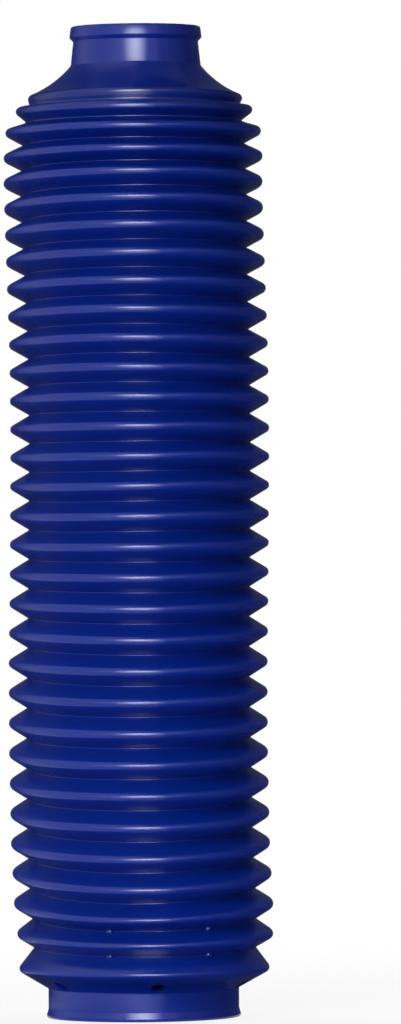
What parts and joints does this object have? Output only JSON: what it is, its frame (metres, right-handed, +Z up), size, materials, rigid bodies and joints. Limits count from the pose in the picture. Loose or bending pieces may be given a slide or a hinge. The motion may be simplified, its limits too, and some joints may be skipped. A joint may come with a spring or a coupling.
{
  "type": "fork gaiter",
  "caption": "Moulded rubber bellows sleeve for a motorcycle fork leg, with a narrow collar at the top and a wider vented cuff at the bottom.",
  "frame": {"origin": "centre of the flat foot at the sleeve's lower end", "axes": "+Z up along the sleeve's axis towards the narrow collar, -Y the front, +X to the right seen from the front"},
  "size_m": [0.09, 0.09, 0.344],
  "materials": {
    "blue_rubber": "glossy moulded rubber"
  },
  "bodies": {
    "root": {"gaiter": "blue_rubber"}
  },
  "joints": []
}
